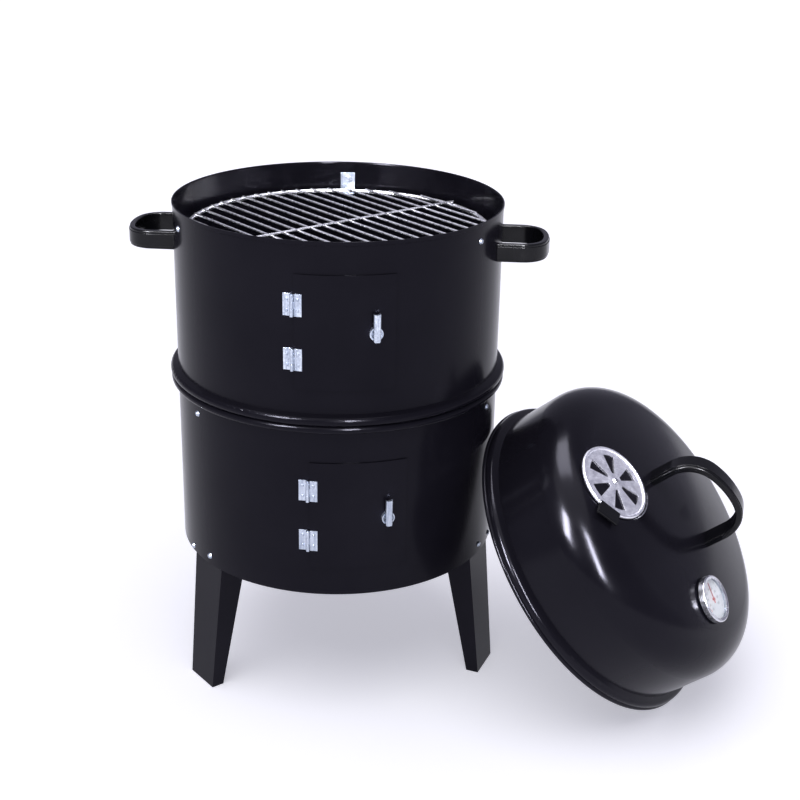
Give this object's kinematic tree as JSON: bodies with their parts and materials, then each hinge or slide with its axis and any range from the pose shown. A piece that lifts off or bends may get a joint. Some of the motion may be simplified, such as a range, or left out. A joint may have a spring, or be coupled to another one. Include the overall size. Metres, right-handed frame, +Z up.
{
  "type": "vertical water smoker",
  "caption": "Upright charcoal water smoker: two stacked steel barrels on legs with side doors, grates and pans, its domed lid taken off and leaning beside it.",
  "frame": {"origin": "middle of the footprint of the whole object, on the floor", "axes": "+Z up; +X from the barrels towards the leaning lid; the doors face -Y"},
  "size_m": [0.7861, 0.5159, 0.6],
  "materials": {
    "black_enamel": "satin black baked enamel",
    "pan_enamel": "glossy black porcelain enamel",
    "zinc_steel": "bright zinc-plated steel",
    "chrome_wire": "chromed steel wire",
    "bright_steel": "polished pressed steel",
    "grip_plastic": "black heat-resistant moulded plastic",
    "dial_face": "white printed dial",
    "pointer_paint": "red painted pointer",
    "gauge_glass": "clear flat glass"
  },
  "bodies": {
    "lower_section": {"lower_barrel": "black_enamel", "bottom_plate": "black_enamel", "rear_leg": "black_enamel", "left_leg": "black_enamel", "right_leg": "black_enamel", "leg_screws": "zinc_steel", "lower_brackets": "zinc_steel", "lower_bracket_screws": "zinc_steel", "charcoal_brackets": "zinc_steel", "lower_hinge_barrel_leaves": "zinc_steel", "lower_hinge_pins": "zinc_steel", "lower_hinge_barrel_rivets": "zinc_steel"},
    "charcoal_pan": {"charcoal_pan": "pan_enamel"},
    "water_pan": {"water_pan": "pan_enamel"},
    "lower_grate": {"lower_grate": "chrome_wire"},
    "lower_door": {"lower_door": "black_enamel", "lower_hinge_door_leaves": "zinc_steel", "lower_hinge_door_rivets": "zinc_steel", "lower_latch_plate": "zinc_steel"},
    "lower_latch": {"lower_latch_spindle": "zinc_steel", "lower_latch_lever": "zinc_steel", "lower_latch_tongue": "zinc_steel"},
    "upper_section": {"upper_barrel": "black_enamel", "upper_brackets": "zinc_steel", "upper_bracket_screws": "zinc_steel", "right_handle_grip": "grip_plastic", "left_handle_grip": "grip_plastic", "side_handle_screws": "zinc_steel", "upper_hinge_barrel_leaves": "zinc_steel", "upper_hinge_pins": "zinc_steel", "upper_hinge_barrel_rivets": "zinc_steel"},
    "upper_door": {"upper_door": "black_enamel", "upper_hinge_door_leaves": "zinc_steel", "upper_hinge_door_rivets": "zinc_steel", "upper_latch_plate": "zinc_steel"},
    "upper_latch": {"upper_latch_spindle": "zinc_steel", "upper_latch_lever": "zinc_steel", "upper_latch_tongue": "zinc_steel"},
    "upper_grate": {"upper_grate": "chrome_wire"},
    "lid": {"lid_dome": "black_enamel", "lid_handle_grip": "grip_plastic", "lid_handle_screws": "zinc_steel", "vent_base": "black_enamel", "vent_stop": "bright_steel", "vent_rivet": "bright_steel", "gauge_cup": "zinc_steel", "gauge_bezel": "bright_steel", "gauge_dial": "dial_face", "gauge_glass": "gauge_glass", "gauge_stem": "zinc_steel", "gauge_nut": "zinc_steel"},
    "vent_damper": {"vent_damper": "bright_steel", "vent_tab": "grip_plastic"},
    "gauge_needle": {"gauge_needle": "pointer_paint"}
  },
  "joints": [
    {"name": "upper_section_lift", "type": "slide", "parent": "lower_section", "child": "upper_section", "axis": [0, 0, 1], "range_m": [0, 0.25]},
    {"name": "water_pan_lift", "type": "slide", "parent": "lower_section", "child": "water_pan", "axis": [0, 0, 1], "range_m": [0, 0.09]},
    {"name": "lower_grate_lift", "type": "slide", "parent": "water_pan", "child": "lower_grate", "axis": [0, 0, 1], "range_m": [0, 0.09]},
    {"name": "charcoal_pan_lift", "type": "slide", "parent": "lower_section", "child": "charcoal_pan", "axis": [0, 0, 1], "range_m": [0, 0.055]},
    {"name": "upper_grate_lift", "type": "slide", "parent": "upper_section", "child": "upper_grate", "axis": [0, 0, 1], "range_m": [0, 0.12]},
    {"name": "upper_door_hinge", "type": "hinge", "parent": "upper_section", "child": "upper_door", "pos_m": [-0.18905, -0.15257, 0.4945], "axis": [0, 0, -1], "range_deg": [0, 110]},
    {"name": "upper_latch_turn", "type": "hinge", "parent": "upper_door", "child": "upper_latch", "pos_m": [-0.0951, -0.15401, 0.4945], "axis": [-0.2069, 0.9784, 0], "range_deg": [0, 90]},
    {"name": "lower_door_hinge", "type": "hinge", "parent": "lower_section", "child": "lower_door", "pos_m": [-0.17236, -0.15623, 0.2695], "axis": [0, 0, -1], "range_deg": [0, 110]},
    {"name": "lower_latch_turn", "type": "hinge", "parent": "lower_door", "child": "lower_latch", "pos_m": [-0.07863, -0.1498, 0.2655], "axis": [-0.288, 0.9576, 0], "range_deg": [0, 90]},
    {"name": "lid_lift", "type": "slide", "parent": "lower_section", "child": "lid", "axis": [0.6885, -0.3508, 0.6347], "range_m": [0, 0.3]},
    {"name": "vent_damper_turn", "type": "hinge", "parent": "lid", "child": "vent_damper", "pos_m": [0.18583, -0.15131, 0.31181], "axis": [0.5318, -0.4359, 0.7261], "range_deg": [0, 30]},
    {"name": "gauge_needle_turn", "type": "hinge", "parent": "lid", "child": "gauge_needle", "pos_m": [0.30984, -0.1761, 0.16923], "axis": [-0.7215, 0.4616, -0.5161], "range_deg": [0, 250], "stiffness_Nm_per_rad": 0.0002}
  ]
}
